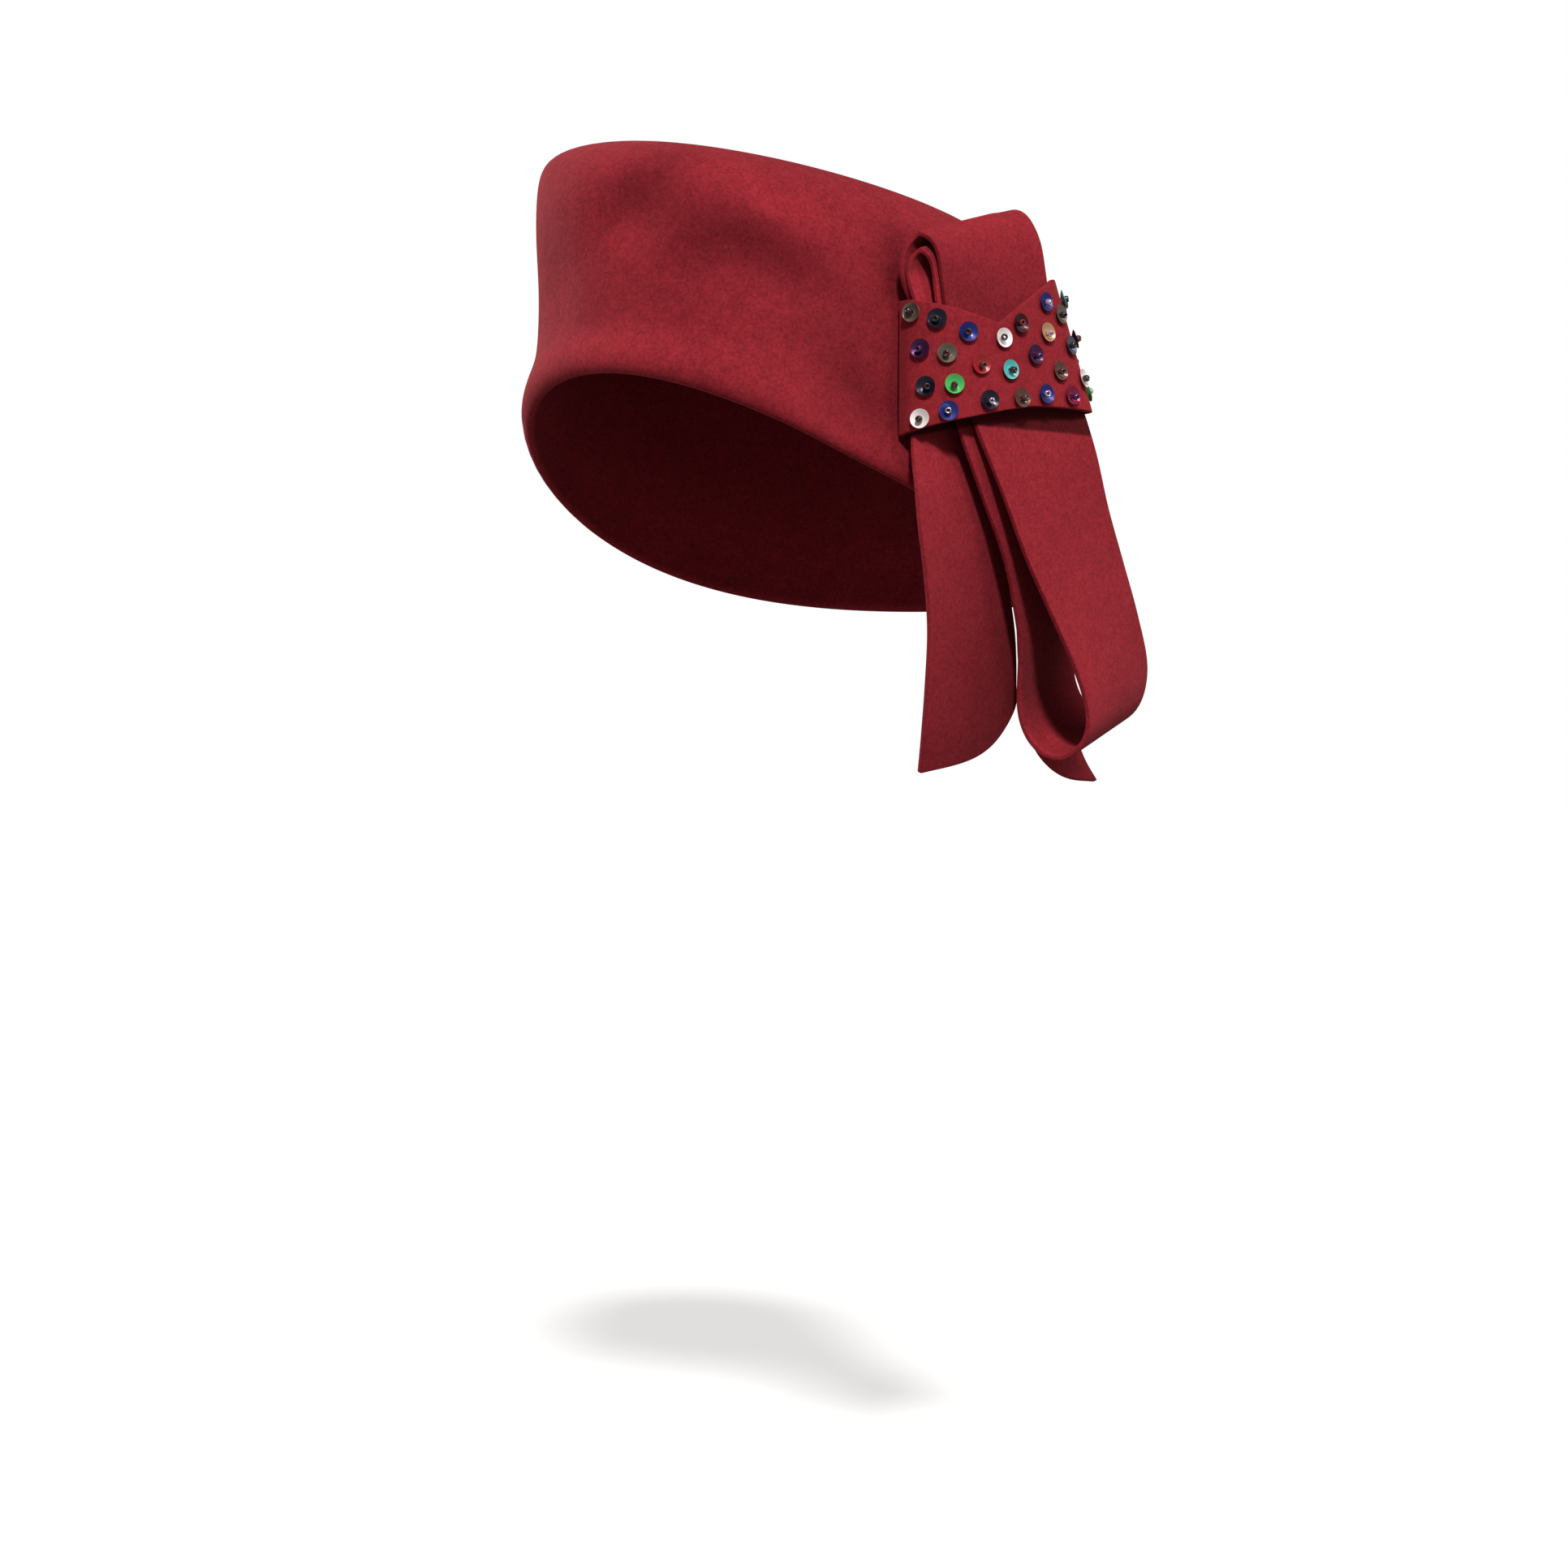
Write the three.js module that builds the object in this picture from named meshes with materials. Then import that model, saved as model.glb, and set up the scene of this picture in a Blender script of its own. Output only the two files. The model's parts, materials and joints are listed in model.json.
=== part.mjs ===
// Felt toque hat: a tall blocked crown, and on the wearer's left a sequined band that holds
// a bow of felt strap with two nested loops on top, one hanging loop and two tails.
// Millimetres, +Z up. The wearer faces -Y, the bow is on +X, and the origin is the middle of
// the head opening.
import * as THREE from "three";
import { mergeVertices } from "three/addons/utils/BufferGeometryUtils.js";

// ---- Driving dimensions ----
const CROWN_FELT = 2.2;
const WALL_LENGTH = 180; // front to back, outside
const WALL_WIDTH = 160; // side to side, outside
const HEM_HEIGHT = 14; // felt turned up inside the rim
const RIM_SLOPE_BACK = 0.36; // the rim climbs to the forehead and drops to the nape
const RIM_ARCH = 7.2; // and dips over both ears
const TOP_SLOPE_BACK = 0.135;
const TOP_SLOPE_LEFT = 0.166;
const STRAP_WIDTH = 43;
const STRAP_FELT = 1.8;
const FRONT_TAIL_CUT = 24; // drop of the curved slanting cut across a tail
const REAR_TAIL_CUT = 32;
const BAND_FELT = 1.8;
const SEQUIN_RADIUS = 3.05;
const TOUCHING_GAP = 0.3; // left between pieces that touch

const CROWN_RED = 0x8a2a2e;
const STRAP_RED = 0x962f33;
const BAND_RED = 0x912b30;

const SEQUIN_FINISH = {
  olive: 0x7d7a5e,
  night: 0x1b1d2a,
  cobalt: 0x2743a8,
  violet: 0x56347f,
  ruby: 0xae2a30,
  garnet: 0x3b1420,
  emerald: 0x2f9c45,
  pearl: 0xefe3e0,
  gold: 0xc8a76f,
  turquoise: 0x49bcbf,
  steel: 0x77839a,
  taupe: 0x6d5247,
  magenta: 0xb02a5e,
};

const { clamp, degToRad, smoothstep, lerp } = THREE.MathUtils;

function felt(color) {
  return new THREE.MeshStandardMaterial({ color, roughness: 0.95, metalness: 0 });
}

function named(name, geometry, material) {
  geometry.deleteAttribute("normal");
  geometry.deleteAttribute("uv");
  const mesh = new THREE.Mesh(mergeVertices(geometry, 1e-3), material);
  mesh.name = name;
  return mesh;
}

// Moves every vertex of a geometry to the place that a function of its own place gives
function reshape(geometry, place) {
  const positions = geometry.getAttribute("position");
  for (let i = 0; i < positions.count; i++) {
    const point = place(new THREE.Vector3().fromBufferAttribute(positions, i));
    positions.setXYZ(i, point.x, point.y, point.z);
  }
  return geometry;
}

// Reads a column of a table as a smooth function of 0..1
function column(rows, name) {
  const curve = new THREE.CatmullRomCurve3(rows.map((row) => new THREE.Vector3(row[name], 0, 0)));
  return (t) => curve.getPoint(t).x;
}

// ---- Crown ----
const WALL_RADIUS = 85;

// Outer face of the block from the rim up: mean radius, and height above the rim's edge
const blockOutline = [
  { radius: 88.2, height: 0.5 },
  { radius: 89.6, height: 3.5 },
  { radius: 89.0, height: 8.5 },
  { radius: 86.8, height: 14.5 },
  { radius: 84.9, height: 21 },
  { radius: 84.2, height: 30 },
  { radius: 84.2, height: 41 },
  { radius: 84.6, height: 52 },
  { radius: 85.2, height: 63 },
  { radius: 85.4, height: 74 },
  { radius: 84.8, height: 84 },
  { radius: 82.6, height: 92.5 },
  { radius: 78.2, height: 99.5 },
  { radius: 71.5, height: 105 },
  { radius: 62.0, height: 108.8 },
  { radius: 48.0, height: 111 },
  { radius: 30.0, height: 112.6 },
  { radius: 13.0, height: 113.3 },
];
const TOP_HEIGHT = 113.5;

// Soft dents and swells of the blocked wall: where they lie, how far they reach round the wall,
// up and down, how far they climb over that reach, and how deep they are
const dents = [
  { angle: -78, height: 82, reachAngle: 10, reachUp: 8, reachDown: 16, climb: 6, depth: 5.5 },
  { angle: -60, height: 66, reachAngle: 18, reachUp: 12, reachDown: 26, climb: -4, depth: 3.6 },
  { angle: -47, height: 71, reachAngle: 11, reachUp: 7, reachDown: 18, climb: -8, depth: 4.4 },
  { angle: -44, height: 94, reachAngle: 18, reachUp: 7, reachDown: 7, climb: -4, depth: -1.4 },
  { angle: -130, height: 100, reachAngle: 22, reachUp: 10, reachDown: 8, climb: 0, depth: -3.8 },
  { angle: -136, height: 60, reachAngle: 22, reachUp: 24, reachDown: 24, climb: 0, depth: 1.4 },
  { angle: -104, height: 40, reachAngle: 5, reachUp: 17, reachDown: 17, climb: -10, depth: 2.2 },
  { angle: -86, height: 13, reachAngle: 22, reachUp: 9, reachDown: 8, climb: 0, depth: 1.8 },
  { angle: -31, height: 16, reachAngle: 8, reachUp: 18, reachDown: 20, climb: -6, depth: 3 },
  { angle: -18, height: 78, reachAngle: 8, reachUp: 18, reachDown: 18, climb: 0, depth: 2.4 },
];

function crownSection() {
  const outer = blockOutline.map((row) => new THREE.Vector2(row.radius, row.height));
  outer.push(new THREE.Vector2(0, TOP_HEIGHT));
  const inner = outer.map((point, i) => {
    const along = outer[Math.min(outer.length - 1, i + 1)].clone();
    along.sub(outer[Math.max(0, i - 1)]).normalize();
    const wall = point.y < HEM_HEIGHT ? 2 * CROWN_FELT : CROWN_FELT;
    return new THREE.Vector2(point.x - along.y * wall, point.y + along.x * wall);
  });
  inner[inner.length - 1].set(0, TOP_HEIGHT - CROWN_FELT);
  inner[0].set(blockOutline[0].radius - 3.6, 1.6);
  const edge = new THREE.Vector2(blockOutline[0].radius - 1.9, 0);
  return [...inner.reverse(), edge, ...outer];
}

function dentDepth(angle, height) {
  let depth = 0;
  for (const dent of dents) {
    const along = (angle - dent.angle) / dent.reachAngle;
    const above = height - dent.height - along * dent.climb;
    const up = above / (above > 0 ? dent.reachUp : dent.reachDown);
    depth += dent.depth * Math.exp(-along * along - up * up);
  }
  return depth;
}

// The blocked shape: an oval plan, a rim and a top that slope differently, and the dents
function blocked(point) {
  const angle = Math.atan2(point.y, point.x);
  const dent = dentDepth((angle * 180) / Math.PI, point.z);
  const radius = Math.hypot(point.x, point.y);
  const pressed = radius > 1 ? (radius - dent) / radius : 1;
  const x = (point.x * pressed * WALL_WIDTH) / (2 * WALL_RADIUS);
  const y = (point.y * pressed * WALL_LENGTH) / (2 * WALL_RADIUS);
  const rim = -RIM_SLOPE_BACK * y - RIM_ARCH * Math.cos(2 * angle);
  const top = -TOP_SLOPE_BACK * y - TOP_SLOPE_LEFT * x;
  const share = smoothstep(point.z, HEM_HEIGHT, 88);
  return new THREE.Vector3(x, y, point.z + lerp(rim, top, share));
}

function crown() {
  const geometry = new THREE.LatheGeometry(crownSection(), 64);
  geometry.rotateX(Math.PI / 2);
  return named("crown", reshape(geometry, blocked), felt(CROWN_RED));
}

// ---- Strap ----
// Each row is a place on the middle of the strap: how far out to the wearer's left, back and up,
// where it faces (degrees from straight out, towards the back), how far its rear edge
// is raised (degrees), and how far its middle bows out
const frontTail = [
  { out: 82.6, back: -6.9, up: 42, face: -3, rise: 8, bow: 2 },
  { out: 82.9, back: -7.8, up: 30, face: -1, rise: 7, bow: 2 },
  { out: 84.0, back: -11.2, up: 17, face: 2, rise: 5, bow: 1.2 },
  { out: 86.8, back: -14.2, up: 4, face: 5, rise: 3, bow: 0.4 },
  { out: 87.6, back: -13.8, up: -8, face: 5, rise: 2, bow: 0.2 },
  { out: 86.4, back: -10.4, up: -22, face: 6, rise: 0, bow: 0.4 },
  { out: 84.2, back: -5.2, up: -40, face: 4, rise: -1, bow: 0.5 },
  { out: 82.4, back: -3.4, up: -57, face: 2, rise: -1, bow: 0.6 },
  { out: 79, back: -0.8, up: -72, face: 1, rise: -2, bow: 0.8 },
  { out: 74, back: 3.6, up: -84, face: 0, rise: -2, bow: 1 },
];

const rearTail = [
  { out: 87.0, back: 9.5, up: 42, face: -2, rise: 16, bow: 1.2 },
  { out: 88.2, back: 13.5, up: 27, face: -1, rise: 17, bow: 1 },
  { out: 89.2, back: 18.7, up: 10, face: 3, rise: 18, bow: 0.5 },
  { out: 85.6, back: 28.4, up: -8, face: 10, rise: 18, bow: 0 },
  { out: 77.4, back: 37.0, up: -25, face: 17, rise: 18, bow: 0 },
  { out: 72.2, back: 41.6, up: -42, face: 23, rise: 18, bow: 0.5 },
  { out: 72.2, back: 46.5, up: -57, face: 22, rise: 17, bow: 0.8 },
  { out: 72.0, back: 47.5, up: -70, face: 20, rise: 15, bow: 1 },
  { out: 73.4, back: 50.4, up: -82, face: 20, rise: 14, bow: 1.2 },
  { out: 76, back: 54.8, up: -91, face: 20, rise: 14, bow: 1.2 },
];

const hangingLoop = [
  { out: 95.6, back: -0.4, up: 42, face: -6, rise: 19, bow: 0.6 },
  { out: 98.5, back: 5.4, up: 27, face: -6.5, rise: 21, bow: 0.3 },
  { out: 101.0, back: 11.8, up: 10, face: -4, rise: 23, bow: 0 },
  { out: 102.2, back: 19.4, up: -9, face: 1, rise: 25, bow: 0 },
  { out: 103.0, back: 28.3, up: -26, face: 6, rise: 26, bow: 0 },
  { out: 103.6, back: 36.6, up: -42, face: 10, rise: 24, bow: 0 },
  { out: 103.6, back: 42, up: -56, face: 12, rise: 20, bow: 0 },
  { out: 101.6, back: 43.4, up: -65, face: 14, rise: 18, bow: 0 },
  { out: 96.8, back: 43.4, up: -70.6, face: 14, rise: 17, bow: 0 },
  { out: 90.6, back: 42.2, up: -72.6, face: 14, rise: 17, bow: 0 },
  { out: 84.6, back: 40, up: -70.2, face: 15, rise: 17, bow: 0 },
  { out: 81.0, back: 37.4, up: -64.4, face: 16, rise: 18, bow: 0 },
  { out: 80.4, back: 34.8, up: -56, face: 16, rise: 19, bow: 0 },
  { out: 83.4, back: 32.8, up: -45, face: 13, rise: 21, bow: 0 },
  { out: 87.4, back: 30, up: -34.6, face: 9, rise: 22, bow: 0 },
  { out: 90.6, back: 25.8, up: -24, face: 5, rise: 22, bow: 0 },
  { out: 93.4, back: 19.2, up: -9, face: 1, rise: 22, bow: 0 },
  { out: 94.6, back: 9.8, up: 9, face: -4, rise: 21, bow: 0 },
  { out: 93.6, back: 2.2, up: 27, face: -6, rise: 19, bow: 0.4 },
  { out: 91.4, back: -1.4, up: 42, face: -7, rise: 17, bow: 0.6 },
];

const outerLoop = [
  { out: 95.6, back: -0.4, up: 42.6, face: -6, rise: 19, bow: 0.6 },
  { out: 93.8, back: -2.2, up: 54, face: -5.5, rise: 18, bow: 0.4 },
  { out: 92.8, back: -4.2, up: 66, face: -6.5, rise: 17, bow: 0.2 },
  { out: 92.4, back: -6, up: 75.5, face: -6, rise: 18, bow: 0 },
  { out: 91.2, back: -7.2, up: 81.8, face: -3, rise: 17, bow: 0 },
  { out: 88.6, back: -8.4, up: 86, face: -2.5, rise: 16.5, bow: 0 },
  { out: 85.4, back: -9.6, up: 87.2, face: -2.5, rise: 16.5, bow: 0 },
  { out: 82.4, back: -11, up: 85, face: -2, rise: 17, bow: 0 },
  { out: 80.6, back: -12, up: 80, face: -2, rise: 17, bow: 0.2 },
  { out: 80.5, back: -11.6, up: 74.5, face: -2, rise: 16, bow: 0.8 },
  { out: 80.9, back: -9.4, up: 69, face: -1, rise: 15, bow: 1.2 },
  { out: 81.7, back: -6.5, up: 61, face: 0, rise: 13, bow: 1.8 },
  { out: 82.2, back: -6.8, up: 52, face: -2, rise: 10, bow: 2 },
  { out: 82.6, back: -6.9, up: 42.6, face: -3, rise: 8, bow: 2 },
];

const innerLoop = [
  { out: 91.4, back: -1.4, up: 42.6, face: -7, rise: 17, bow: 0.6 },
  { out: 91.1, back: -2.6, up: 54, face: -6, rise: 17, bow: 0.4 },
  { out: 90.4, back: -4.8, up: 65, face: -6.5, rise: 17, bow: 0.2 },
  { out: 90.1, back: -6.2, up: 73, face: -6, rise: 18, bow: 0 },
  { out: 89, back: -7.2, up: 78.6, face: -4, rise: 18, bow: 0 },
  { out: 87.3, back: -8.4, up: 82, face: -2.5, rise: 17.5, bow: 0 },
  { out: 85.2, back: -10, up: 82.2, face: -2.5, rise: 17, bow: 0 },
  { out: 83.2, back: -11.2, up: 79.6, face: -3, rise: 18, bow: 0 },
  { out: 82.8, back: -11.4, up: 75, face: -2, rise: 17, bow: 0.6 },
  { out: 83.4, back: -10, up: 69, face: -1, rise: 15, bow: 1.2 },
  { out: 84.5, back: -7.4, up: 61, face: 0, rise: 13, bow: 1.8 },
  { out: 85.4, back: -6.4, up: 52, face: -2, rise: 12, bow: 2 },
  { out: 85.6, back: -5.8, up: 42.6, face: -4, rise: 12, bow: 1.6 },
];

// A felt strap bent along the middles in the table. cut is the drop of its last end's slanting
// cut, positive where the front edge is the longer one.
function strap(name, rows, steps, cut = 0) {
  const middle = new THREE.CatmullRomCurve3(rows.map((row) => new THREE.Vector3(row.out, row.back, row.up)));
  const face = column(rows, "face");
  const rise = column(rows, "rise");
  const bow = column(rows, "bow");
  const length = middle.getLength();
  const place = (point) => {
    const across = point.y / STRAP_WIDTH + 0.5;
    const along = clamp(point.x / length + 0.5, 0, 1);
    const fromPoint = cut > 0 ? across : 1 - across;
    const shortened = (Math.abs(cut) / length) * (0.4 * fromPoint + 0.6 * fromPoint ** 4);
    const share = along * (1 - (cut ? shortened : 0) * smoothstep(along, 0.5, 1));
    const t = middle.getUtoTmapping(share);
    const centre = middle.getPoint(t);
    const tangent = middle.getTangent(t);
    const yaw = degToRad(face(t));
    const lift = degToRad(rise(t));
    const outward = new THREE.Vector3(Math.cos(yaw), Math.sin(yaw), 0);
    const rearward = new THREE.Vector3(-Math.sin(yaw), Math.cos(yaw), 0);
    const wide = rearward.multiplyScalar(Math.cos(lift)).setZ(Math.sin(lift));
    const normal = new THREE.Vector3().crossVectors(tangent, wide).normalize();
    const bulge = bow(t) * (0.5 - (2 * across - 1) ** 2);
    centre.addScaledVector(wide, point.y).addScaledVector(normal, point.z);
    return centre.addScaledVector(outward, bulge);
  };
  const geometry = new THREE.BoxGeometry(length, STRAP_WIDTH, STRAP_FELT, steps, cut ? 8 : 4, 1);
  return named(name, reshape(geometry, place), felt(STRAP_RED));
}

// ---- Sequined band ----
// Stations along the band from its front end to its rear end: plan of its lower and its upper
// edge, and the height of each edge. The upper edge has a V in it.
const bandStations = [
  { lowOut: 77.8, lowBack: -31.4, topOut: 76.6, topBack: -29.6, low: 19.6, top: 61.5 },
  { lowOut: 84, lowBack: -32.3, topOut: 83, topBack: -31.2, low: 20.6, top: 61 },
  { lowOut: 92.5, lowBack: -27, topOut: 91.5, topBack: -27.5, low: 23.1, top: 59 },
  { lowOut: 99, lowBack: -16.5, topOut: 96.6, topBack: -18.5, low: 25.8, top: 56.2 },
  { lowOut: 101.4, lowBack: -8.5, topOut: 98, topBack: -11.5, low: 27.6, top: 54.4 },
  { lowOut: 103.6, lowBack: 3, topOut: 98.8, topBack: -1, low: 29.6, top: 61.6 },
  { lowOut: 105, lowBack: 14, topOut: 98.2, topBack: 8.3, low: 30, top: 67.2 },
  { lowOut: 106, lowBack: 24, topOut: 96.8, topBack: 16.2, low: 30.1, top: 71.2 },
  { lowOut: 104.6, lowBack: 32.2, topOut: 92, topBack: 22.6, low: 30, top: 72 },
  { lowOut: 94, lowBack: 39.4, topOut: 86, topBack: 29, low: 31, top: 72.6 },
  { lowOut: 76.6, lowBack: 45.5, topOut: 77.8, topBack: 34, low: 32, top: 73 },
];

// Heights between which the band's plan turns
const BAND_FOOT = 20;
const BAND_RISE = 55;

// Reads a column of a table as straight lines between the rows
function straightColumn(rows, name) {
  return (t) => {
    const place = t * (rows.length - 1);
    const row = Math.min(Math.floor(place), rows.length - 2);
    return lerp(rows[row][name], rows[row + 1][name], place - row);
  };
}

// The band's middle surface as a function of the share along it and up it. Its plan turns
// evenly from the lower one to the upper one over the band's whole height.
function bandSurface() {
  const plan = (out, back) => {
    const points = bandStations.map((station) => new THREE.Vector3(station[out], station[back], 0));
    return new THREE.CatmullRomCurve3(points);
  };
  const lowPlan = plan("lowOut", "lowBack");
  const topPlan = plan("topOut", "topBack");
  const low = straightColumn(bandStations, "low");
  const top = straightColumn(bandStations, "top");
  return (along, up, outset) => {
    const at = (a, b) => {
      const height = lerp(low(a), top(a), b);
      const share = (height - BAND_FOOT) / BAND_RISE;
      return lowPlan.getPoint(a).lerp(topPlan.getPoint(a), share).setZ(height);
    };
    const step = 0.01;
    const ahead = at(Math.min(1, along + step), up).sub(at(Math.max(0, along - step), up));
    const above = at(along, 1).sub(at(along, 0)).normalize();
    const normal = new THREE.Vector3().crossVectors(ahead, above).normalize();
    return { place: at(along, up).addScaledVector(normal, outset), normal };
  };
}

function sequinBand() {
  const surface = bandSurface();
  const geometry = new THREE.BoxGeometry(1, 1, BAND_FELT, 40, 4, 1);
  reshape(geometry, (point) => surface(clamp(point.x + 0.5, 0, 1), point.y + 0.5, point.z).place);
  return named("sequin_band", geometry, felt(BAND_RED));
}

// Sequins on the band: where each sits along it from the front end and up it from the
// lower edge, both as shares, and its finish
const sequins = [
  { along: 0.105, up: 0.9, finish: "olive" },
  { along: 0.182, up: 0.87, finish: "night" },
  { along: 0.263, up: 0.8, finish: "cobalt" },
  { along: 0.133, up: 0.62, finish: "violet" },
  { along: 0.207, up: 0.585, finish: "olive" },
  { along: 0.295, up: 0.5, finish: "ruby" },
  { along: 0.147, up: 0.32, finish: "night" },
  { along: 0.223, up: 0.315, finish: "emerald" },
  { along: 0.318, up: 0.135, finish: "night" },
  { along: 0.13, up: 0.07, finish: "pearl" },
  { along: 0.207, up: 0.09, finish: "cobalt" },
  { along: 0.403, up: 0.815, finish: "pearl" },
  { along: 0.47, up: 0.845, finish: "garnet" },
  { along: 0.6, up: 0.88, finish: "cobalt" },
  { along: 0.678, up: 0.735, finish: "olive" },
  { along: 0.585, up: 0.635, finish: "gold" },
  { along: 0.515, up: 0.485, finish: "violet" },
  { along: 0.417, up: 0.435, finish: "turquoise" },
  { along: 0.618, up: 0.3, finish: "taupe" },
  { along: 0.705, up: 0.485, finish: "steel" },
  { along: 0.752, up: 0.24, finish: "pearl" },
  { along: 0.448, up: 0.1, finish: "taupe" },
  { along: 0.54, up: 0.11, finish: "cobalt" },
  { along: 0.655, up: 0.1, finish: "magenta" },
  { along: 0.8, up: 0.85, finish: "turquoise" },
  { along: 0.82, up: 0.55, finish: "night" },
  { along: 0.85, up: 0.15, finish: "emerald" },
  { along: 0.87, up: 0.82, finish: "gold" },
  { along: 0.9, up: 0.4, finish: "violet" },
];

// A cupped disc of clear or metallic film, standing just clear of the felt under it
function sequin(name, { along, up, finish }) {
  // Section from the middle of the outside, over the rim, to the middle of the inside
  const cup = [
    [0, 0],
    [0.36, 0],
    [1, 0.24],
    [0.97, 0.33],
    [0.34, 0.09],
    [0, 0.09],
  ];
  const profile = cup.map((shares) => new THREE.Vector2(...shares).multiplyScalar(SEQUIN_RADIUS));
  const { place, normal } = bandSurface()(along, up, BAND_FELT / 2 + TOUCHING_GAP);
  const turn = new THREE.Quaternion().setFromUnitVectors(new THREE.Vector3(0, 1, 0), normal);
  const geometry = new THREE.LatheGeometry(profile, 10).applyQuaternion(turn);
  geometry.translate(place.x, place.y, place.z);
  const color = SEQUIN_FINISH[finish];
  return named(name, geometry, new THREE.MeshStandardMaterial({ color, roughness: 0.25, metalness: 0.6 }));
}

const hat = new THREE.Group();
hat.add(crown());
hat.add(strap("front_tail", frontTail, 20, FRONT_TAIL_CUT));
hat.add(strap("rear_tail", rearTail, 20, -REAR_TAIL_CUT));
hat.add(strap("hanging_loop", hangingLoop, 44));
hat.add(strap("outer_loop", outerLoop, 26));
hat.add(strap("inner_loop", innerLoop, 24));
hat.add(sequinBand());
sequins.forEach((row, i) => hat.add(sequin(`sequin_${String(i + 1).padStart(2, "0")}`, row)));

export default hat;
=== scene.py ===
import json
import math
import random

import bmesh
import bpy
import numpy as np
from mathutils import Matrix, Vector


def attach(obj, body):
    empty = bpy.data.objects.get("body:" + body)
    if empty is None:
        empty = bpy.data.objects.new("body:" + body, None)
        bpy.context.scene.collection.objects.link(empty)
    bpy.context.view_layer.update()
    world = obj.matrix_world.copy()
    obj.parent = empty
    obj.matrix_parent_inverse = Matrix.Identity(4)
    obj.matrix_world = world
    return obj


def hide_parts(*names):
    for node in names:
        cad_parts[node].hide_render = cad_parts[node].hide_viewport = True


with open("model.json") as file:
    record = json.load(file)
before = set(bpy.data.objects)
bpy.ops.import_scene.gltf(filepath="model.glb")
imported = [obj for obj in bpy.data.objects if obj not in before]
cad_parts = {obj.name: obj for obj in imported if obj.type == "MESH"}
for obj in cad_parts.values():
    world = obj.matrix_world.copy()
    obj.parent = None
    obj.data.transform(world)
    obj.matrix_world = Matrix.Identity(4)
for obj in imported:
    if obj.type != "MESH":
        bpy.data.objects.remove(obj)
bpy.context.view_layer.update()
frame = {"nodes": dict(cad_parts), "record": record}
scene = bpy.context.scene

# ---- Studio ----
# A pale floor that runs a long way back, a white room with soft light from the front and from
# behind on the wearer's right, and the camera level with the wearer's face, below the rim.
FLOOR_HALF_SIDE = 30.0
FLOOR_LEVEL = -0.36
PALE = (0.96, 0.96, 0.955, 1)
ROOM_GLOW = 0.26

scene.view_settings.view_transform = "Standard"
scene.view_settings.look = "None"

floor_mesh = bpy.data.meshes.new("floor")
bm = bmesh.new()
bmesh.ops.create_grid(bm, x_segments=1, y_segments=1, size=FLOOR_HALF_SIDE,
                      matrix=Matrix.Translation((0, 0, FLOOR_LEVEL)))
bm.to_mesh(floor_mesh)
bm.free()
floor = bpy.data.objects.new("floor", floor_mesh)
scene.collection.objects.link(floor)

# The floor looks pale, but throws only a little of the light back up at the hat
paper = bpy.data.materials.new("pale_paper")
paper.use_nodes = True
paper_nodes, paper_link = paper.node_tree.nodes, paper.node_tree.links.new
paper_shader = paper_nodes["Principled BSDF"]
paper_shader.inputs["Base Color"].default_value = PALE
paper_shader.inputs["Roughness"].default_value = 0.9
dull_paper = paper_nodes.new("ShaderNodeBsdfDiffuse")
dull_paper.inputs["Color"].default_value = (0.2, 0.2, 0.2, 1)
paper_seen = paper_nodes.new("ShaderNodeLightPath")
paper_mix = paper_nodes.new("ShaderNodeMixShader")
paper_link(paper_seen.outputs["Is Camera Ray"], paper_mix.inputs["Fac"])
paper_link(dull_paper.outputs["BSDF"], paper_mix.inputs[1])
paper_link(paper_shader.outputs["BSDF"], paper_mix.inputs[2])
paper_link(paper_mix.outputs["Shader"], paper_nodes["Material Output"].inputs["Surface"])
floor_mesh.materials.append(paper)

# The room looks white, but gives only a little light of its own
room = bpy.data.worlds.new("pale_room")
room.use_nodes = True
room_nodes, room_link = room.node_tree.nodes, room.node_tree.links.new
seen = room_nodes.new("ShaderNodeLightPath")
walls = room_nodes["Background"]
walls.inputs["Color"].default_value = (1, 1, 1, 1)
glow = room_nodes.new("ShaderNodeBackground")
glow.inputs["Color"].default_value = (1.0, 0.99, 0.98, 1)
glow.inputs["Strength"].default_value = ROOM_GLOW
either = room_nodes.new("ShaderNodeMixShader")
room_link(seen.outputs["Is Camera Ray"], either.inputs["Fac"])
room_link(glow.outputs["Background"], either.inputs[1])
room_link(walls.outputs["Background"], either.inputs[2])
room_link(either.outputs["Shader"], room_nodes["World Output"].inputs["Surface"])
scene.world = room


def soft_light(name, around, above, strength, spread):
    """Light from a direction round the hat and a height over it, and its spread, in degrees"""
    lamp = bpy.data.lights.new(name, "SUN")
    lamp.energy = strength
    lamp.angle = math.radians(spread)
    lamp.color = (1.0, 0.985, 0.97)
    holder = bpy.data.objects.new(name, lamp)
    level = math.cos(math.radians(above))
    source = Vector((math.cos(math.radians(around)) * level,
                     math.sin(math.radians(around)) * level,
                     math.sin(math.radians(above))))
    holder.rotation_euler = source.to_track_quat("Z", "Y").to_euler()
    scene.collection.objects.link(holder)


soft_light("key_light", around=-40, above=39, strength=2.9, spread=8)
soft_light("left_key", around=-2, above=42, strength=0.9, spread=14)
soft_light("back_light", around=-165, above=10, strength=4.0, spread=40)
soft_light("side_fill", around=35, above=35, strength=0.5, spread=40)

CAMERA_PLACE = (0.705, -0.7092, -0.0872)
CAMERA_TURN = 45
LENS = 68.94
SENSOR = 36
camera = bpy.data.cameras.new("camera")
camera.sensor_width = SENSOR
camera.lens = LENS
camera_holder = bpy.data.objects.new("camera", camera)
camera_holder.location = CAMERA_PLACE
camera_holder.rotation_euler = (math.radians(90), 0, math.radians(CAMERA_TURN))
scene.collection.objects.link(camera_holder)
scene.camera = camera_holder

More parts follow.
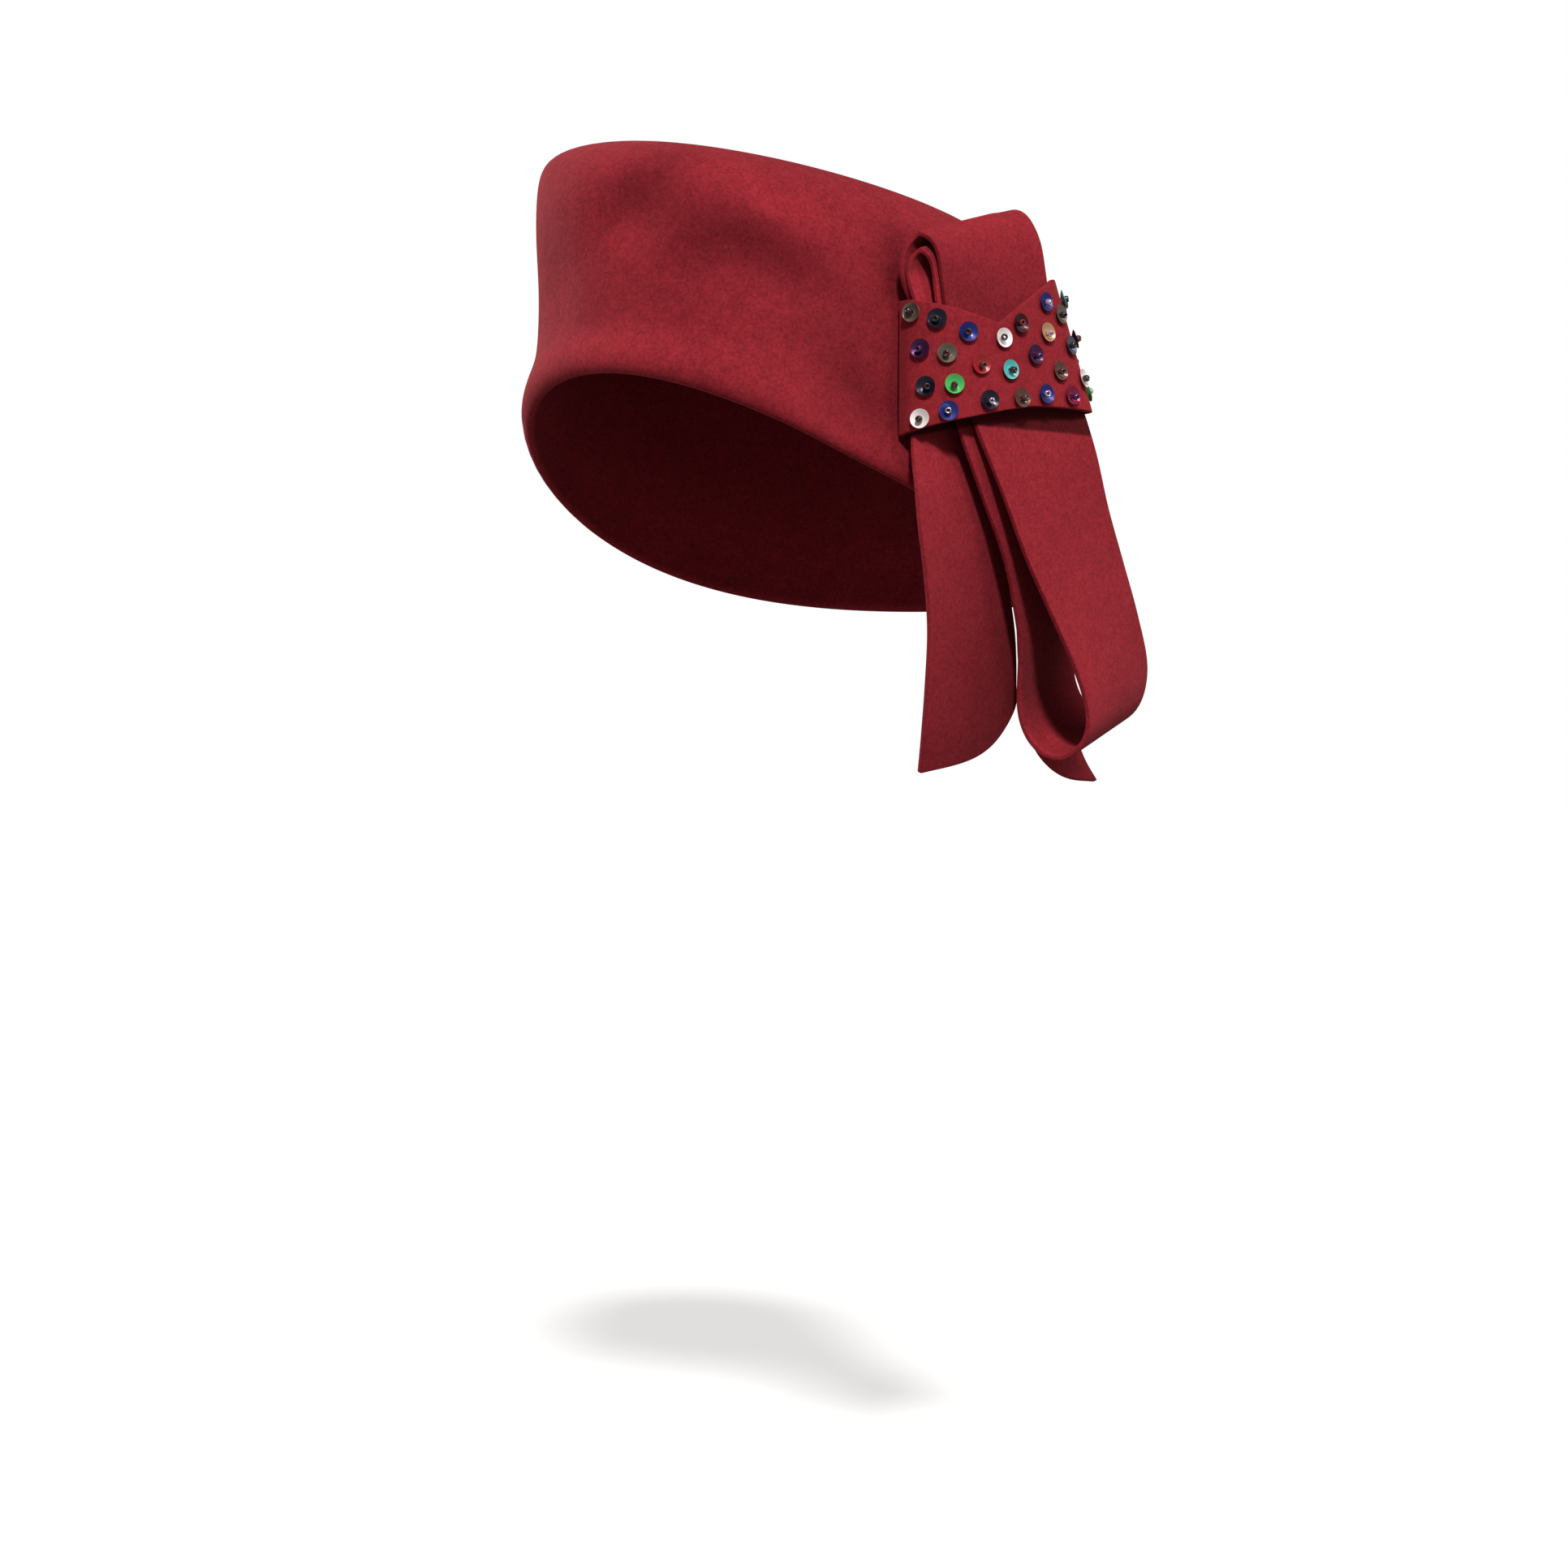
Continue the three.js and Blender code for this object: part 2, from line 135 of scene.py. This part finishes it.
# ---- Crown ----
# The body of the hat, blocked in one piece from red wool felt: a soft oval wall with the
# shallow dents of handling, a slanting top, and a rim turned up inside as a hem.
WALL_HALF_WIDTH = 80  # millimetres
WALL_HALF_LENGTH = 90  # millimetres
SAME_POINT = 2e-6
PANEL_FOLD = math.radians(70)
PANEL_SKEW = math.radians(80)
ROUNDING_REACH = 0.0045
ROUNDING_PASSES = 2


def joined_copy(node):
    """A bmesh of a node's surface with its triangles joined, two by two, in panels"""
    bm = bmesh.new()
    bm.from_mesh(frame["nodes"][node].data)
    bmesh.ops.remove_doubles(bm, verts=bm.verts, dist=SAME_POINT)
    bmesh.ops.join_triangles(bm, faces=bm.faces, angle_face_threshold=PANEL_FOLD,
                             angle_shape_threshold=PANEL_SKEW)
    return bm


def vertex_places(mesh):
    """Every vertex's place, one to a row, in metres"""
    places = np.empty(len(mesh.vertices) * 3)
    mesh.vertices.foreach_get("co", places)
    return places.reshape(-1, 3)


def evaluated(piece):
    """The piece with its modifiers worked out"""
    bpy.context.view_layer.update()
    return piece.evaluated_get(bpy.context.evaluated_depsgraph_get())


def make_good_rounding(piece):
    """Moves a piece's points out by what its rounding takes off around them"""
    wanted = vertex_places(piece.data)
    apart = np.linalg.norm(wanted[:, None] - wanted[None], axis=2)
    near = apart < ROUNDING_REACH
    share = near / near.sum(axis=1, keepdims=True)
    for _ in range(ROUNDING_PASSES):
        rounded = vertex_places(evaluated(piece).data)
        moved = vertex_places(piece.data) + share @ (wanted - rounded[: len(wanted)])
        piece.data.vertices.foreach_set("co", moved.ravel())
        piece.data.update()


def finished_piece(bm, name, material, levels, replaced, full_size=False):
    """Links a bmesh as a smooth piece of the hat that stands for the nodes it replaces"""
    mesh = bpy.data.meshes.new(name)
    bm.to_mesh(mesh)
    bm.free()
    mesh.shade_smooth()
    mesh.materials.append(material)
    piece = bpy.data.objects.new(name, mesh)
    scene.collection.objects.link(piece)
    if levels:
        rounding = piece.modifiers.new("rounding", "SUBSURF")
        rounding.levels = levels
        rounding.render_levels = levels
        if full_size:
            make_good_rounding(piece)
    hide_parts(*replaced)
    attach(piece, "root")
    return piece


def wool_felt_surface():
    """Group: matted wool. Soft clouds of dye, blotches of nap and fine crossing fibres"""
    dye_scale, blotch_scale, fibre_scale = 26, 230, 900
    dye_weight, fibre_weight = 0.9, 3.4
    blotch_height, fibre_height = 0.8, 0.9
    group = bpy.data.node_groups.new("wool_felt", "ShaderNodeTree")
    add = group.interface.new_socket
    add("Place", in_out="INPUT", socket_type="NodeSocketVector")
    add("Dye", in_out="INPUT", socket_type="NodeSocketColor")
    add("Deep Dye", in_out="INPUT", socket_type="NodeSocketColor")
    add("Blotch", in_out="INPUT", socket_type="NodeSocketFloat")
    add("Painted Light And Shade", in_out="INPUT", socket_type="NodeSocketFloat")
    add("Color", in_out="OUTPUT", socket_type="NodeSocketColor")
    add("Height", in_out="OUTPUT", socket_type="NodeSocketFloat")
    nodes, link = group.nodes, group.links.new
    entry = nodes.new("NodeGroupInput")
    leave = nodes.new("NodeGroupOutput")

    def cloud(scale, detail, roughness):
        noise = nodes.new("ShaderNodeTexNoise")
        noise.inputs["Scale"].default_value = scale
        noise.inputs["Detail"].default_value = detail
        noise.inputs["Roughness"].default_value = roughness
        link(entry.outputs["Place"], noise.inputs["Vector"])
        return noise.outputs["Fac"]

    def math_node(operation, first, second):
        node = nodes.new("ShaderNodeMath")
        node.operation = operation
        for socket, value in zip(node.inputs, (first, second)):
            if isinstance(value, (int, float)):
                socket.default_value = value
            else:
                link(value, socket)
        return node.outputs[0]

    dye_cloud = math_node("SUBTRACT", cloud(dye_scale, 2, 0.5), 0.5)
    blotch = math_node("SUBTRACT", cloud(blotch_scale, 3, 0.6), 0.5)
    fibre = math_node("SUBTRACT", cloud(fibre_scale, 5, 0.75), 0.5)
    tone = math_node("MULTIPLY", dye_cloud, dye_weight)
    tone = math_node("ADD", tone, math_node("MULTIPLY", blotch, entry.outputs["Blotch"]))
    tone = math_node("ADD", tone, math_node("MULTIPLY", fibre, fibre_weight))
    tone = math_node("ADD", tone, 0.5)
    mix = nodes.new("ShaderNodeMix")
    mix.data_type = "RGBA"
    link(tone, mix.inputs["Factor"])
    link(entry.outputs["Deep Dye"], mix.inputs["A"])
    link(entry.outputs["Dye"], mix.inputs["B"])
    # The painted light and shade darkens the colour, or lightens it where it is below nought
    darker = nodes.new("ShaderNodeVectorMath")
    darker.operation = "SCALE"
    link(mix.outputs["Result"], darker.inputs["Vector"])
    link(math_node("SUBTRACT", 1, entry.outputs["Painted Light And Shade"]), darker.inputs["Scale"])
    link(darker.outputs["Vector"], leave.inputs["Color"])
    height = math_node("ADD", math_node("MULTIPLY", blotch, blotch_height),
                       math_node("MULTIPLY", fibre, fibre_height))
    link(height, leave.inputs["Height"])
    return group


felt_surface = wool_felt_surface()


def felt_material(name, dye, deep_dye, blotch):
    """Dull felt with a faint sheen of loose fibres and a fine uneven nap"""
    material = bpy.data.materials.new(name)
    material.use_nodes = True
    nodes, link = material.node_tree.nodes, material.node_tree.links.new
    shader = nodes["Principled BSDF"]
    shader.inputs["Roughness"].default_value = 0.95
    shader.inputs["Specular IOR Level"].default_value = 0.06
    shader.inputs["Sheen Weight"].default_value = 0.08
    shader.inputs["Sheen Roughness"].default_value = 0.45
    shader.inputs["Sheen Tint"].default_value = (1.0, 0.3, 0.32, 1)
    place = nodes.new("ShaderNodeTexCoord")
    surface = nodes.new("ShaderNodeGroup")
    surface.node_tree = felt_surface
    surface.inputs["Dye"].default_value = dye
    surface.inputs["Deep Dye"].default_value = deep_dye
    surface.inputs["Blotch"].default_value = blotch
    link(place.outputs["Object"], surface.inputs["Place"])
    link(surface.outputs["Color"], shader.inputs["Base Color"])
    nap = nodes.new("ShaderNodeBump")
    nap.inputs["Strength"].default_value = 0.5
    nap.inputs["Distance"].default_value = 0.0005
    link(surface.outputs["Height"], nap.inputs["Height"])
    link(nap.outputs["Normal"], shader.inputs["Normal"])
    # The painted light and shade written on the piece's points
    painted = nodes.new("ShaderNodeAttribute")
    painted.attribute_name = "painted_light_and_shade"
    link(painted.outputs["Fac"], surface.inputs["Painted Light And Shade"])
    return material


# Painted shade and painted light on the wall: darker where the upper slopes of its dents face
# away from the light and where the bow and the band's corner shadow it, lighter where light
# falls on it. Degrees from the wearer's left towards the back, height and reaches in
# millimetres and degrees, the climb over the reach round the wall, and how much darker
PAINTED_WALL_LIGHT_AND_SHADE = [
    {"around": -77, "up": 99, "wide": 9, "above": 8, "below": 8, "climb": 5, "shade": 0.26},
    {"around": -50, "up": 80, "wide": 14, "above": 5, "below": 12, "climb": -6, "shade": 0.2},
    {"around": -64, "up": 76, "wide": 10, "above": 10, "below": 10, "climb": 0, "shade": 0.2},
    {"around": -45, "up": 89, "wide": 9, "above": 5, "below": 4, "climb": -7, "shade": -0.22},
    {"around": -84, "up": 76, "wide": 8, "above": 9, "below": 9, "climb": 0, "shade": -0.12},
    {"around": -92, "up": 57, "wide": 12, "above": 6, "below": 5, "climb": 0, "shade": 0.1},
    {"around": -78, "up": 48, "wide": 18, "above": 5, "below": 8, "climb": -3, "shade": -0.14},
    {"around": -35, "up": 47, "wide": 10, "above": 14, "below": 10, "climb": -8, "shade": 0.14},
    {"around": -23, "up": 29, "wide": 13, "above": 11, "below": 14, "climb": -5, "shade": 0.36},
    {"around": -42, "up": 96, "wide": 4, "above": 4, "below": 4, "climb": 0, "shade": 0.1},
    {"around": -19, "up": 77, "wide": 5, "above": 10, "below": 16, "climb": 0, "shade": 0.4},
    {"around": -25, "up": 58, "wide": 9, "above": 12, "below": 14, "climb": 0, "shade": 0.12},
]


def paint_wall_light_and_shade(mesh):
    """Writes the painted shade and light of the wall at every vertex of a mesh"""
    x, y, z = vertex_places(mesh).T * 1000
    around = np.degrees(np.arctan2(y / WALL_HALF_LENGTH, x / WALL_HALF_WIDTH))
    painted = np.zeros(len(z))
    for place in PAINTED_WALL_LIGHT_AND_SHADE:
        along = (around - place["around"]) / place["wide"]
        off = z - place["up"] - along * place["climb"]
        reach = np.where(off > 0, place["above"], place["below"])
        painted += place["shade"] * np.exp(-along**2 - (off / reach) ** 2)
    mesh.attributes.new("painted_light_and_shade", "FLOAT", "POINT").data.foreach_set("value", painted)


crown_felt = felt_material("crown_felt", dye=(0.275, 0.0195, 0.028, 1),
                           deep_dye=(0.165, 0.0105, 0.0165, 1), blotch=1.2)
crown = finished_piece(joined_copy("crown"), "felt_crown", crown_felt, 1, ["crown"])
# The crown is rounded once for good, so that the painted shade and light fall on close points,
# and its modifier then rounds it once more
crown.data = bpy.data.meshes.new_from_object(evaluated(crown))
paint_wall_light_and_shade(crown.data)

# ---- Strap ----
# Flat felt strap cut to one width, folded into a bow: two tails with slanting curved cuts,
# a long hanging loop, and two loops rolled one inside the other above the band.
STRAP_EDGE_EASE = 0.00035
CUT_EDGE = math.radians(50)
# The band's lower edge climbs from its front corner to its middle, then stays level
BAND_FRONT_Y, BAND_FRONT_Z = -0.045, 0.0187
BAND_MIDDLE_Y, BAND_MIDDLE_Z = -0.016, 0.0252
# How far below that edge the band's painted shadow on the strap is at its darkest, where it ends,
# and how dark it is
BAND_SHADOW_FULL, BAND_SHADOW_END, BAND_SHADOW_DARKNESS = 0.0018, 0.0032, 0.74
# The painted shadow runs on up behind the band, and ends between these heights over its edge
BEHIND_BAND_END, BEHIND_BAND_FULL = 0.012, 0.008

# Painted shade on the strap in the shadow of its folds and loops, and painted light where light
# falls in: where they are and how far they reach, in millimetres, and how much darker
PAINTED_FOLD_LIGHT_AND_SHADE = [
    {"node": "inner_loop", "at": (85, -20, 76), "reach": 9, "shade": 0.6},
    {"node": "inner_loop", "at": (83, -23, 64), "reach": 9, "shade": -0.9},
    {"node": "outer_loop", "at": (96, -4, 58), "reach": 14, "shade": 0.24},
    {"node": "outer_loop", "at": (88, -21, 63), "reach": 9, "shade": 0.34},
    {"node": "front_tail", "at": (82, 14, -62), "reach": 34, "shade": 0.48},
    {"node": "hanging_loop", "at": (90, 26, -72), "reach": 10, "shade": -0.34},
]


def paint_fold_light_and_shade(mesh, node):
    """Writes the painted shade and light of the folds at every vertex of a strap"""
    places = vertex_places(mesh) * 1000
    dark = np.zeros(len(places))
    for fold in PAINTED_FOLD_LIGHT_AND_SHADE:
        if fold["node"] == node:
            away = np.linalg.norm(places - fold["at"], axis=1) / fold["reach"]
            dark += fold["shade"] * np.exp(-(away**2))
    mesh.attributes.new("painted_light_and_shade", "FLOAT", "POINT").data.foreach_set("value", dark)


def cut_edges_eased(bm, ease):
    """The strap's cut edges, a little rounded by the shears and by wear"""
    cut = [edge for edge in bm.edges
           if len(edge.link_faces) == 2 and edge.calc_face_angle() > CUT_EDGE]
    bmesh.ops.bevel(bm, geom=cut, offset=ease, segments=2, profile=0.5, affect="EDGES",
                    material=-1, clamp_overlap=True)
    return bm


def paint_band_shadow(material):
    """Paints the band's shadow on a strap, in a strip just under the band's lower edge"""
    nodes, link = material.node_tree.nodes, material.node_tree.links.new

    def ramp(value, low, high, at_low, at_high, kind="LINEAR"):
        node = nodes.new("ShaderNodeMapRange")
        node.interpolation_type = kind
        node.inputs["From Min"].default_value = low
        node.inputs["From Max"].default_value = high
        node.inputs["To Min"].default_value = at_low
        node.inputs["To Max"].default_value = at_high
        link(value, node.inputs["Value"])
        return node.outputs["Result"]

    def math_node(operation, first, second):
        node = nodes.new("ShaderNodeMath")
        node.operation = operation
        link(first, node.inputs[0])
        link(second, node.inputs[1])
        return node.outputs[0]

    axes = nodes.new("ShaderNodeSeparateXYZ")
    link(nodes["Texture Coordinate"].outputs["Object"], axes.inputs[0])
    edge_height = ramp(axes.outputs["Y"], BAND_FRONT_Y, BAND_MIDDLE_Y, BAND_FRONT_Z, BAND_MIDDLE_Z)
    below_edge = math_node("SUBTRACT", edge_height, axes.outputs["Z"])
    # The band's painted shadow, darkest just under its edge
    band_shadow = ramp(below_edge, BAND_SHADOW_FULL, BAND_SHADOW_END, BAND_SHADOW_DARKNESS, 0, "SMOOTHSTEP")
    behind_band = ramp(below_edge, -BEHIND_BAND_END, -BEHIND_BAND_FULL, 0, 1)
    painted = math_node("MULTIPLY", band_shadow, behind_band)
    total = math_node("ADD", nodes["Attribute"].outputs["Fac"], painted)
    link(total, nodes["Group"].inputs["Painted Light And Shade"])


strap_felt = felt_material("strap_felt", dye=(0.295, 0.021, 0.0305, 1),
                           deep_dye=(0.185, 0.012, 0.0185, 1), blotch=0.9)
# The strap felt carries the band's painted shadow
paint_band_shadow(strap_felt)


def strap_piece(node, name):
    """One length of the strap, with eased edges and the painted shade and light of its folds"""
    bm = cut_edges_eased(joined_copy(node), STRAP_EDGE_EASE)
    piece = finished_piece(bm, name, strap_felt, 2, [node], full_size=True)
    paint_fold_light_and_shade(piece.data, node)
    return piece


front_tail = strap_piece("front_tail", "front_strap_tail")

rear_tail = strap_piece("rear_tail", "rear_strap_tail")

hanging_loop = strap_piece("hanging_loop", "hanging_strap_loop")

outer_loop = strap_piece("outer_loop", "outer_rolled_loop")

inner_loop = strap_piece("inner_loop", "inner_rolled_loop")

# ---- Sequined band ----
# A band of the same felt, wrapped round the strap and sewn to the crown at both ends. Its
# upper edge is cut to a V.
BAND_EDGE_EASE = 0.0004
band_felt = felt_material("band_felt", dye=(0.295, 0.020, 0.0285, 1),
                          deep_dye=(0.19, 0.0125, 0.0185, 1), blotch=0.9)
band = finished_piece(cut_edges_eased(joined_copy("sequin_band"), BAND_EDGE_EASE), "felt_band",
                      band_felt, 2, ["sequin_band"])

# ---- Sequins ----
# Small cups punched from metallic, pearled or clear tinted film, with a hole in the middle.
# Each stands a little clear of the band's felt, and no two lie quite alike.
SEQUIN_RADIUS = 0.00305
SEQUIN_RISE = 0.00095
SEQUIN_LEAN = 0.07
SEQUIN_STEPS = 24
FILM = 0.00013
HOLE_RADIUS = 0.0005
RIM_ANGLE = math.radians(40)
# The cup's underside from its hole to its rim: distance from the middle, and height
CUP_SECTION = [(HOLE_RADIUS, 0.00002), (0.0011, 0), (0.0015, 0.00012), (0.0023, 0.0005),
               (SEQUIN_RADIUS, SEQUIN_RISE)]


def axis_and_foot(node):
    """Which way a sequin's cup opens, and the middle of its underside"""
    points = np.array([vertex.co for vertex in frame["nodes"][node].data.vertices])
    middle = points.mean(axis=0)
    axis = np.linalg.svd(points - middle)[2][2]
    if axis[:2] @ middle[:2] < 0:
        axis = -axis
    foot = middle + axis * ((points - middle) @ axis).min()
    return Vector(axis), Vector(foot)


def stood_on(node, turn, lean):
    """Places a thing made round the vertical on a sequin's foot, turned and leaning a little"""
    axis, foot = axis_and_foot(node)
    upright = axis.to_track_quat("Z", "Y").to_matrix().to_4x4()
    leaning = Matrix.Rotation(lean, 4, "X")
    return Matrix.Translation(foot) @ upright @ Matrix.Rotation(turn, 4, "Z") @ leaning


def turned_once_round(bm, ring, edges, steps):
    """Spins a closed section once round the vertical"""
    bmesh.ops.spin(bm, geom=ring + edges, cent=(0, 0, 0), axis=(0, 0, 1), angle=math.tau,
                   steps=steps, use_merge=True, use_duplicate=False)


def fresh_and_outward(bm, before):
    """The vertices added since before, once their faces look outward"""
    fresh = [vertex for vertex in bm.verts if vertex not in before]
    faces = list({face for vertex in fresh for face in vertex.link_faces})
    bmesh.ops.recalc_face_normals(bm, faces=faces)
    return fresh


def add_sequin(bm):
    section = CUP_SECTION + [(radius * 0.99, height + FILM)
                             for radius, height in reversed(CUP_SECTION)]
    ring = [bm.verts.new((radius, 0, height)) for radius, height in section]
    edges = [bm.edges.new((ring[i], ring[(i + 1) % len(ring)])) for i in range(len(ring))]
    turned_once_round(bm, ring, edges, SEQUIN_STEPS)


def sequin_piece(name, nodes, material, chance):
    """All the sequins of one finish as one piece"""
    bm = bmesh.new()
    for node in nodes:
        before = set(bm.verts)
        add_sequin(bm)
        fresh = fresh_and_outward(bm, before)
        turn = chance.uniform(0, math.tau)
        lean = chance.uniform(-SEQUIN_LEAN, SEQUIN_LEAN)
        bmesh.ops.transform(bm, matrix=stood_on(node, turn, lean), verts=fresh)
    piece = finished_piece(bm, name, material, 0, nodes)
    piece.data.set_sharp_from_angle(angle=RIM_ANGLE)


def film_material(name, color, metallic, roughness, transmission=0.0, coat=0.0):
    """Smooth plastic film or glass, more or less metallic and clear"""
    material = bpy.data.materials.new(name)
    material.use_nodes = True
    shader = material.node_tree.nodes["Principled BSDF"]
    shader.inputs["Base Color"].default_value = color
    shader.inputs["Metallic"].default_value = metallic
    shader.inputs["Roughness"].default_value = roughness
    shader.inputs["Transmission Weight"].default_value = transmission
    shader.inputs["Coat Weight"].default_value = coat
    shader.inputs["Coat Roughness"].default_value = 0.08
    return material


films = {
    "olive": film_material("champagne_film", (0.21, 0.16, 0.12, 1), 0.6, 0.26, coat=0.2),
    "night": film_material("night_film", (0.016, 0.014, 0.032, 1), 0.5, 0.28, coat=0.2),
    "cobalt": film_material("cobalt_film", (0.016, 0.023, 0.18, 1), 0.35, 0.34, coat=0.12),
    "violet": film_material("violet_film", (0.07, 0.016, 0.075, 1), 0.6, 0.26, coat=0.2),
    "garnet": film_material("garnet_film", (0.05, 0.008, 0.014, 1), 0.5, 0.26, coat=0.2),
    "ruby": film_material("ruby_film", (0.46, 0.025, 0.03, 1), 0.1, 0.32, transmission=0.3),
    "emerald": film_material("emerald_film", (0.065, 0.44, 0.095, 1), 0.0, 0.35, coat=0.3),
    "pearl": film_material("pearl_film", (0.86, 0.76, 0.73, 1), 0.0, 0.32, coat=0.5),
    "gold": film_material("gold_film", (0.60, 0.37, 0.19, 1), 0.5, 0.3),
    "turquoise": film_material("turquoise_film", (0.09, 0.48, 0.46, 1), 0.0, 0.3, coat=0.4),
    "steel": film_material("steel_film", (0.16, 0.18, 0.26, 1), 0.8, 0.22),
    "taupe": film_material("taupe_film", (0.13, 0.055, 0.042, 1), 0.3, 0.24, coat=0.3),
    "magenta": film_material("magenta_film", (0.30, 0.02, 0.075, 1), 0.6, 0.2),
}
chance = random.Random(7)
sequins_of = {}
for part in frame["record"]["subparts"]:
    if part["node"].startswith("sequin_") and part["node"] != "sequin_band":
        sequins_of.setdefault(part["material_slot"], []).append(part["node"])
for slot, nodes in sorted(sequins_of.items()):
    finish = slot.removeprefix("sequin_")
    sequin_piece(finish + "_sequins", nodes, films[finish], chance)

# ---- Beads ----
# Each sequin is held down by one glass seed bead, drawn tight into its cup by the thread.
BEAD_RADIUS = 0.0011
BEAD_LENGTH = 0.0019
BEAD_WALL = BEAD_RADIUS * 0.62
BEAD_CLEARANCE = 0.00008
BEAD_SIDES = 10
BEAD_STEPS = 16
BEAD_LEAST_LEAN, BEAD_MOST_LEAN = 0.15, 0.6
BEAD_TURN_SPREAD = 1.1


def bead_piece(name, numbers, material, chance):
    """All the beads of one glass as one piece, on the sequins with these numbers"""
    bm = bmesh.new()
    for number in numbers:
        before = set(bm.verts)
        bmesh.ops.create_circle(bm, cap_ends=False, segments=BEAD_SIDES, radius=0.5,
                                matrix=Matrix.Rotation(math.radians(90), 4, "X"))
        ring = [vertex for vertex in bm.verts if vertex not in before]
        bmesh.ops.scale(bm, vec=(BEAD_WALL, 1, BEAD_LENGTH), verts=ring)
        middle = (BEAD_RADIUS - BEAD_WALL / 2, 0, BEAD_LENGTH * 0.5 + FILM + BEAD_CLEARANCE)
        bmesh.ops.translate(bm, vec=middle, verts=ring)
        edges = list({edge for vertex in ring for edge in vertex.link_edges})
        turned_once_round(bm, ring, edges, BEAD_STEPS)
        fresh = fresh_and_outward(bm, before)
        # Its weight tips it a little off the sequin's middle, mostly downwards
        lean = chance.uniform(BEAD_LEAST_LEAN, BEAD_MOST_LEAN)
        lift = Matrix.Translation((0, 0, BEAD_RADIUS * math.sin(lean)))
        turn = chance.gauss(0, BEAD_TURN_SPREAD)
        place = stood_on(f"sequin_{number:02d}", turn, 0) @ (lift @ Matrix.Rotation(lean, 4, "X"))
        bmesh.ops.transform(bm, matrix=place, verts=fresh)
    mesh = bpy.data.meshes.new(name)
    bm.to_mesh(mesh)
    bm.free()
    mesh.shade_smooth()
    mesh.materials.append(material)
    piece = bpy.data.objects.new(name, mesh)
    scene.collection.objects.link(piece)
    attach(piece, "root")


# Each glass: its colour, how metallic and how rough it is, and the numbers of its sequins
beads = {
    "black_glass": ((0.022, 0.014, 0.013, 1), 0.0, 0.3,
                    [1, 2, 3, 5, 7, 8, 10, 12, 15, 18, 20, 21, 25, 28]),
    "bronze_glass": ((0.09, 0.04, 0.03, 1), 0.2, 0.3, [6, 19, 22, 26]),
    "violet_glass": ((0.07, 0.02, 0.09, 1), 0.3, 0.22, [4, 17, 24, 29]),
    "red_glass": ((0.16, 0.02, 0.02, 1), 0.1, 0.25, [13]),
    "silver": ((0.75, 0.75, 0.76, 1), 1.0, 0.2, [9, 11]),
    "lustre_glass": ((0.55, 0.42, 0.55, 1), 0.5, 0.1, [14, 16, 23, 27]),
}
for name, (color, metallic, roughness, numbers) in beads.items():
    glass = film_material(name, color, metallic, roughness, coat=0.25)
    bead_piece(name + "_beads", numbers, glass, chance)
